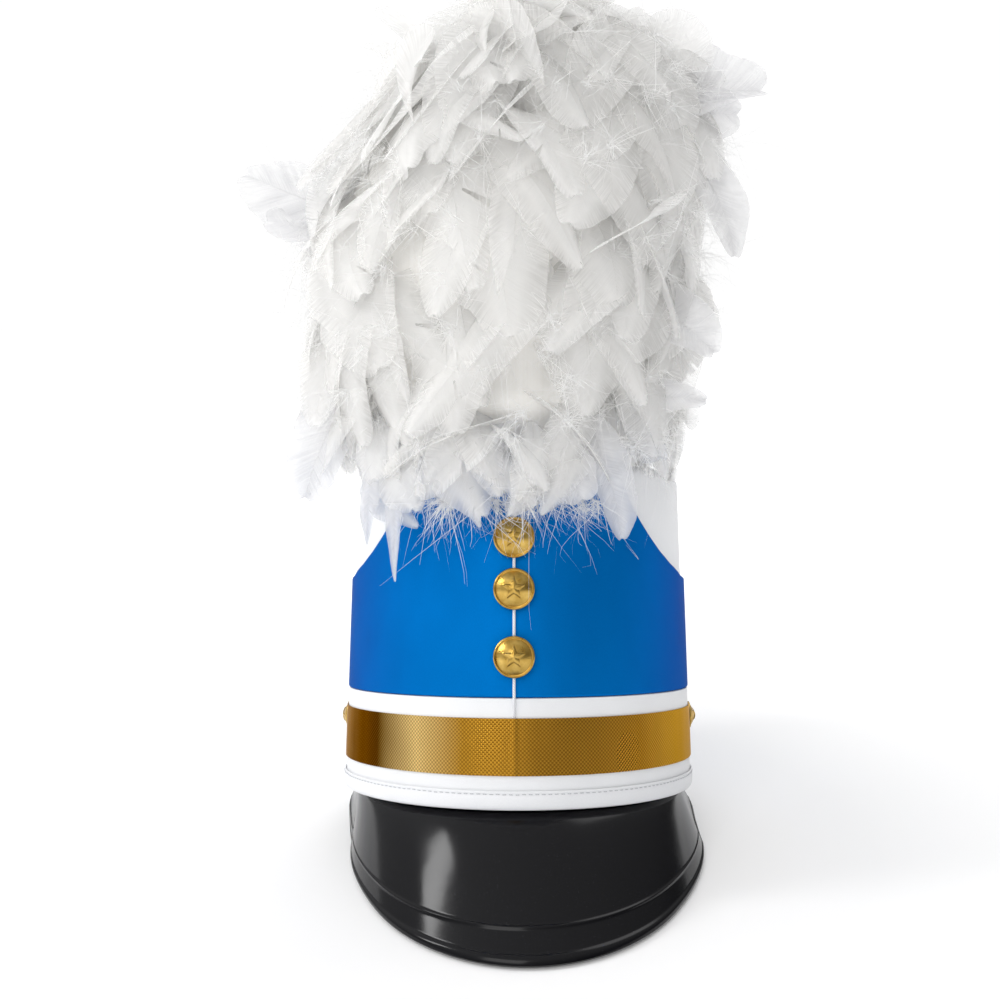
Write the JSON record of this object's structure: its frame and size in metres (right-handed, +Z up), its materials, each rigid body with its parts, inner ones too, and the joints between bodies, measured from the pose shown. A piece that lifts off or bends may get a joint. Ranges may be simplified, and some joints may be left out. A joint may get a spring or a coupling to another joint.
{
  "type": "marching band hat",
  "caption": "Tall oval marching band hat with a blue front panel, gold band, gilt buttons, gloss black visor and a white feather plume.",
  "frame": {"origin": "middle of the box's floor, with the hat resting on the visor's front edge and the back of its rim", "axes": "+Z up from the surface it rests on, -Y towards the visor, +X to the right seen from the front"},
  "size_m": [0.242, 0.2754, 0.4161],
  "materials": {
    "white_cloth": "smooth coated white cloth, matt satin",
    "white_binding": "folded white binding tape, stitched",
    "blue_cloth": "royal blue satin-backed cloth",
    "gold_ribbon": "metallised gold ribbon with a fine cross-hatched emboss",
    "gold_metal": "stamped gold-toned metal",
    "black_gloss": "moulded gloss black plastic",
    "white_cord": "thin white elastic cord",
    "feather": "loose white feathers and down"
  },
  "bodies": {
    "root": {"crown_wall": "white_cloth", "crown_top": "white_cloth", "base_band": "white_cloth", "rim_binding": "white_binding", "front_panel": "blue_cloth", "gold_band": "gold_ribbon", "visor": "black_gloss", "front_button_1": "gold_metal", "front_button_2": "gold_metal", "front_button_3": "gold_metal", "side_button_left": "gold_metal", "side_button_right": "gold_metal", "button_cord": "white_cord", "plume": "feather"}
  },
  "joints": []
}
